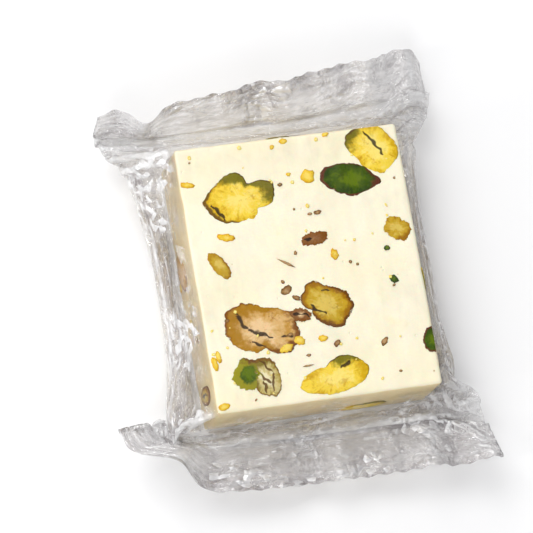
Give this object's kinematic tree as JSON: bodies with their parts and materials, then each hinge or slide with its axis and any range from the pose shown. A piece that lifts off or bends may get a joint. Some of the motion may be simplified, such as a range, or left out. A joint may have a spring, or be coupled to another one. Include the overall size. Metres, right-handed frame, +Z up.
{
  "type": "film-wrapped nougat bar",
  "caption": "Flat block of white pistachio nougat sealed in a clear film tube with crimped, zigzag-cut ends and flared ears.",
  "frame": {"origin": "middle of the nougat's flat underside, where the pack rests", "axes": "+Z up, out of the broad face; +Y along the film tube towards its far crimped end; +X across the block"},
  "size_m": [0.0676, 0.0762, 0.0164],
  "materials": {
    "clear_film": "thin clear crinkled film",
    "nougat": "cut white nougat, smooth and slightly waxy",
    "pistachio": "cut pistachio kernel, matt",
    "nut_skin": "dry nut skin, matt"
  },
  "bodies": {
    "root": {"film_pack": "clear_film"}
  },
  "joints": []
}
